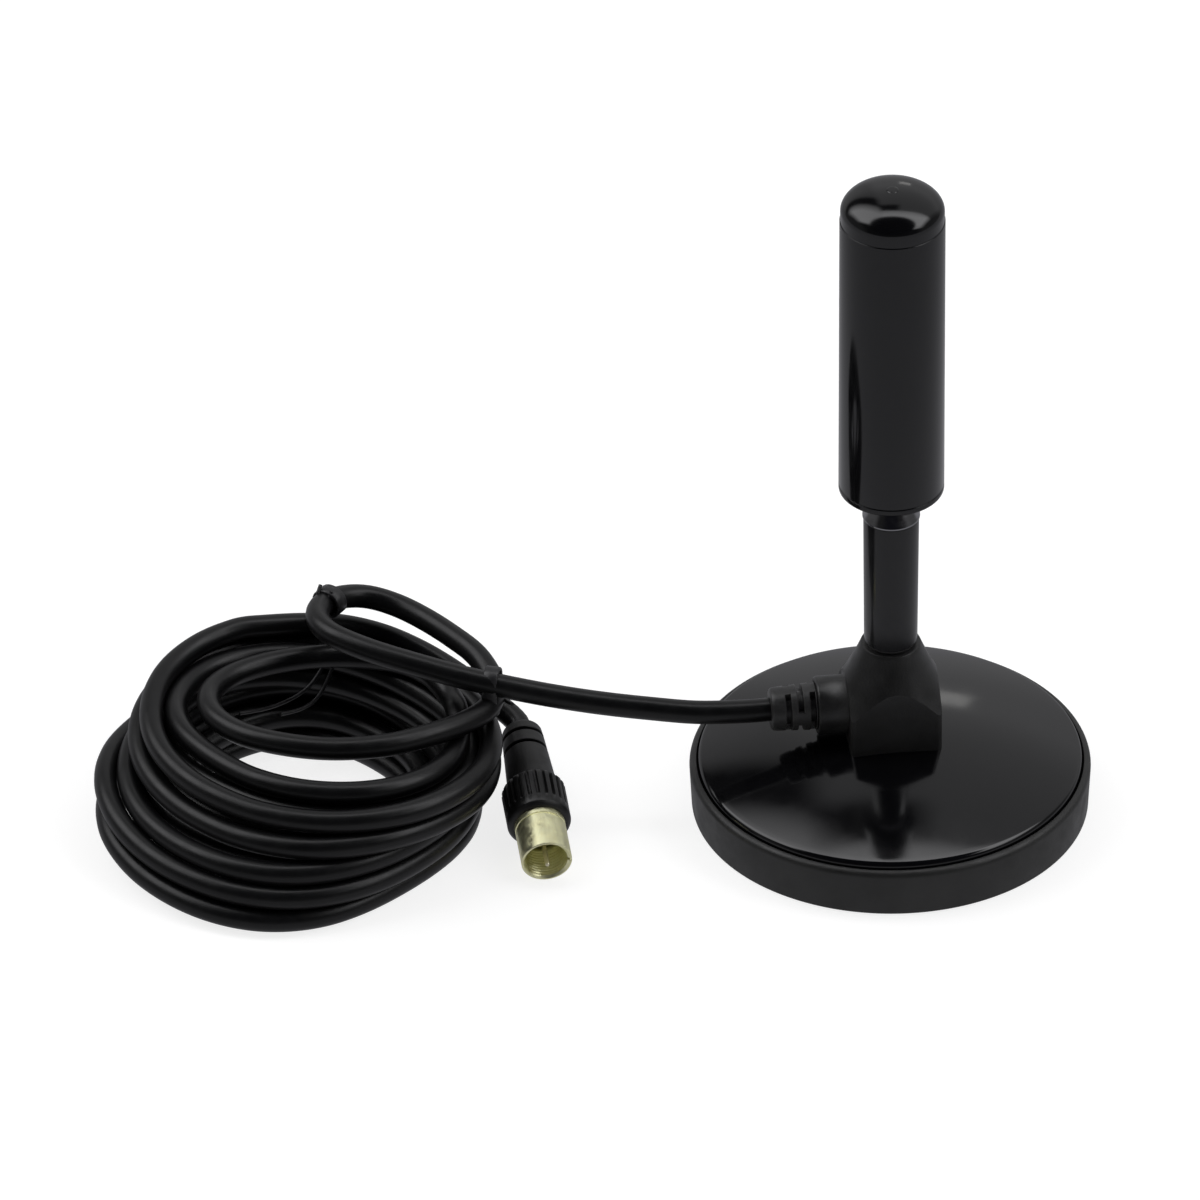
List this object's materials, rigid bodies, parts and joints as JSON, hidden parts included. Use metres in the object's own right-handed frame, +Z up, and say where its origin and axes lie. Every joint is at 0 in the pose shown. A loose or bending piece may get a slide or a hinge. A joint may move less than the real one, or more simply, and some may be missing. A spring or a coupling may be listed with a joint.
{
  "type": "indoor television antenna",
  "caption": "Indoor television antenna: short mast with a thick radome screwed onto a round magnetic base, and a coiled coaxial cable ending in an F plug.",
  "frame": {"origin": "centre of the base's underside, on the desk", "axes": "+Z up along the mast, -X the way the cable leaves the hub, -Y towards the front"},
  "size_m": [0.2099, 0.0945, 0.1565],
  "materials": {
    "boot_rubber": "satin",
    "dome_gloss": "polished",
    "ferrite": "matte",
    "zinc_steel": "plated",
    "hub_matte": "fine moulded grain",
    "soft_pvc": "matte",
    "cable_pvc": "satin",
    "tie_plastic": "satin",
    "bare_brass": "machined",
    "natural_plastic": "natural",
    "copper_wire": "bare copper",
    "stem_paint": "satin black",
    "collar_polished": "polished",
    "radome_plastic": "satin gloss",
    "board_green": "solder mask",
    "solder": "bright",
    "nut_champagne": "nickel over brass, pale",
    "pin_gold": "gold flash",
    "plug_moulding": "moulded satin"
  },
  "bodies": {
    "root": {"base_boot": "boot_rubber", "magnet_ring": "ferrite", "pole_plate": "zinc_steel", "plate_screws": "zinc_steel", "dome_cover": "dome_gloss", "hub_screws": "zinc_steel", "hub_shell": "hub_matte", "mast_stud": "bare_brass", "stud_insulator": "natural_plastic", "contact_spring": "zinc_steel", "core_terminal": "bare_brass", "core_wire": "copper_wire", "cable_dielectric": "natural_plastic", "jacket_end": "cable_pvc", "braid_crimp": "zinc_steel", "ground_wire": "copper_wire", "strain_relief": "soft_pvc", "seal_washer": "soft_pvc", "plug_post": "bare_brass", "plug_body": "plug_moulding", "plug_insulator": "natural_plastic", "plug_pin": "pin_gold", "plug_ferrule": "zinc_steel", "plug_jacket_end": "cable_pvc", "cable_lead": "cable_pvc", "cable_coil": "cable_pvc", "cable_tail": "cable_pvc", "tie_left": "tie_plastic", "tie_right": "tie_plastic"},
    "plunger": {"contact_plunger": "bare_brass"},
    "mast": {"stem_tube": "stem_paint", "thread_insert": "bare_brass", "contact_bush": "natural_plastic", "mast_contact": "bare_brass", "feed_wire": "copper_wire", "feed_dielectric": "natural_plastic", "mast_coupler": "collar_polished", "radome_foot": "radome_plastic", "radome_tube": "radome_plastic", "radome_cap": "radome_plastic", "board_holders": "natural_plastic", "element_board": "board_green", "copper_traces": "copper_wire", "solder_joint": "solder"},
    "f_nut": {"plug_nut": "nut_champagne", "plug_grip": "plug_moulding"}
  },
  "joints": [
    {"name": "plunger_lift", "type": "slide", "parent": "root", "child": "plunger", "axis": [0, 0, 1], "range_m": [0, 0.0046], "deforming": ["contact_spring"]},
    {"name": "mast_turn", "type": "hinge", "parent": "plunger", "child": "mast", "pos_m": [0, 0, 0.042], "axis": [0, 0, 1], "range_deg": [0, 2070]},
    {"name": "nut_turn", "type": "hinge", "parent": "root", "child": "f_nut", "pos_m": [-0.076, -0.0198, 0.0055], "axis": [0, 0.9877, 0.1564], "continuous": true}
  ],
  "couplings": [
    {"joint": "mast_turn", "follows": "plunger_lift", "rad_per_m": 7854}
  ]
}
